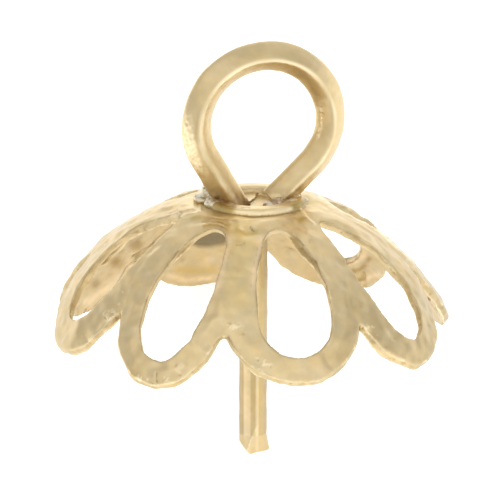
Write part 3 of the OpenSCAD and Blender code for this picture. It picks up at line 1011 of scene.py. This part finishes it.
def rubbed_and_lit(tree, colour):
    """Lays painted shade in creases, stain, and rubbed edges with painted highlights over a colour."""
    shares = tree.nodes.new("ShaderNodeSeparateColor")
    tree.links.new(painted_node(tree, "wear_and_painted_light"), shares.inputs["Color"])
    for channel, hue in WEAR_AND_LIGHT_HUES:
        mix = tree.nodes.new("ShaderNodeMix")
        mix.data_type = "RGBA"
        mix.inputs["B"].default_value = (*hue, 1)
        tree.links.new(shares.outputs[channel], mix.inputs["Factor"])
        tree.links.new(colour, mix.inputs["A"])
        colour = mix.outputs["Result"]
    return colour


def metal(name, base, rough, grain):
    """Metal of a base colour and roughness, with a fine grain of the given strength."""
    material = bpy.data.materials.new(name)
    material.use_nodes = True
    tree = material.node_tree
    shader = tree.nodes["Principled BSDF"]
    shader.inputs["Metallic"].default_value = 1.0
    place = tree.nodes.new("ShaderNodeTexCoord").outputs["Object"]
    tree.links.new(rubbed_and_lit(tree, clouded(tree, place, base)), shader.inputs["Base Color"])
    fine = noise_node(tree, place, *GRAIN)
    swing = range_node(tree, fine, (0, 1), (rough - ROUGH_SWING, rough + ROUGH_SWING))
    tree.links.new(swing, shader.inputs["Roughness"])
    bump = tree.nodes.new("ShaderNodeBump")
    bump.inputs["Strength"].default_value = grain
    bump.inputs["Distance"].default_value = GRAIN_HEIGHT
    tree.links.new(fine, bump.inputs["Height"])
    tree.links.new(bump.outputs["Normal"], shader.inputs["Normal"])
    return material


def finish_piece(piece, material):
    """Lays a piece where the CAD part lies, gives it its material and smooth faces, and hangs it on the
    root body.
    """
    set_points(piece.data, moved(points(piece.data), WORLD))
    piece.data.materials.clear()
    piece.data.materials.append(material)
    piece.data.polygons.foreach_set("use_smooth", [True] * len(piece.data.polygons))
    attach(piece, "root")


# Stage, light and camera

# Half the floor's width in metres, and its look: a matt white that glows a little
FLOOR_HALF = 2
FLOOR_LOOK = {
    "Base Color": (0.95, 0.95, 0.95, 1), "Roughness": 0.9, "Specular IOR Level": 0.1,
    "Emission Color": (1, 1, 1, 1), "Emission Strength": 0.6,
}
# The tent's uneven white: scale and detail of its noise, then its range and the strength it gives
TENT, TENT_NOISE, TENT_STRENGTH = (1.6, 0.0), (0.3, 0.7), (0.68, 1.11)
# A soft lamp above and in front: the way to it, the cosines between which it grows, and the strength
# that it adds
LAMP, LAMP_RANGE, LAMP_STRENGTH = (0, -0.45, 0.89), (0.4, 1.0), (0.0, 0.34)
# The camera's distance and its sensor's width in millimetres, and the nearest and farthest metres
# that it sees
CAMERA_AWAY, SENSOR, CLIP = 300.0, 36, (0.01, 20)


def add_floor():
    mesh = bpy.data.meshes.new("floor")
    far = FLOOR_HALF
    mesh.from_pydata([(-far, -far, 0), (far, -far, 0), (far, far, 0), (-far, far, 0)], [], [(0, 1, 2, 3)])
    floor = bpy.data.objects.new("floor", mesh)
    bpy.context.scene.collection.objects.link(floor)
    white = bpy.data.materials.new("floor_white")
    white.use_nodes = True
    for name, value in FLOOR_LOOK.items():
        white.node_tree.nodes["Principled BSDF"].inputs[name].default_value = value
    mesh.materials.append(white)


def add_tent():
    """A soft white tent, lit a little unevenly so that the metal's faces differ."""
    world = bpy.data.worlds.new("tent")
    bpy.context.scene.world = world
    world.use_nodes = True
    tree = world.node_tree
    around = tree.nodes.new("ShaderNodeTexCoord").outputs["Generated"]
    uneven = range_node(tree, noise_node(tree, around, *TENT), TENT_NOISE, TENT_STRENGTH)
    towards = tree.nodes.new("ShaderNodeVectorMath")
    towards.operation = "DOT_PRODUCT"
    towards.inputs[1].default_value = LAMP
    tree.links.new(around, towards.inputs[0])
    lamp = range_node(tree, towards.outputs["Value"], LAMP_RANGE, LAMP_STRENGTH)
    both = tree.nodes.new("ShaderNodeMath")
    tree.links.new(uneven, both.inputs[0])
    tree.links.new(lamp, both.inputs[1])
    background = tree.nodes["Background"]
    background.inputs["Color"].default_value = (1, 1, 1, 1)
    tree.links.new(both.outputs["Value"], background.inputs["Strength"])


def add_camera():
    """The photo's camera: far off, raised above the hub's plane and rolled as in the photo."""
    right0, up0 = Vector((1, 0, 0)), Vector((0, math.sin(ELEV), math.cos(ELEV)))
    right = right0 * math.cos(ROLL) + up0 * math.sin(ROLL)
    up = -right0 * math.sin(ROLL) + up0 * math.cos(ROLL)
    back = right.cross(up)
    middle = PHOTO_PX / 2
    target = right * ((middle - CROWN_PX[0]) / PX_PER_MM) + up * ((CROWN_PX[1] - middle) / PX_PER_MM)
    place = (REST.to_3x3() @ Matrix((right, up, back)).transposed()).to_4x4()
    place.translation = WORLD @ (target + back * CAMERA_AWAY)
    camera = bpy.data.objects.new("camera", bpy.data.cameras.new("camera"))
    bpy.context.scene.collection.objects.link(camera)
    camera.matrix_world = place
    camera.data.sensor_width = SENSOR
    camera.data.lens = SENSOR * CAMERA_AWAY / (PHOTO_PX / PX_PER_MM)
    camera.data.clip_start, camera.data.clip_end = CLIP
    bpy.context.scene.camera = camera
    bpy.context.scene.view_settings.view_transform = "Standard"


cap, eye, peg = build_cap(), build_eye(), build_peg()
solder_left = build_solder("solder_left", BLOBS_LEFT, SEED_LEFT)
solder_right = build_solder("solder_right", BLOBS_RIGHT, SEED_RIGHT)
pale_gold, solder = metal("pale_gold", *PALE_GOLD), metal("solder", *SOLDER)
for piece in (cap, eye, peg):
    finish_piece(piece, pale_gold)
for piece in (solder_left, solder_right):
    finish_piece(piece, solder)
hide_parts("pearl_bail")
add_floor()
add_tent()
add_camera()
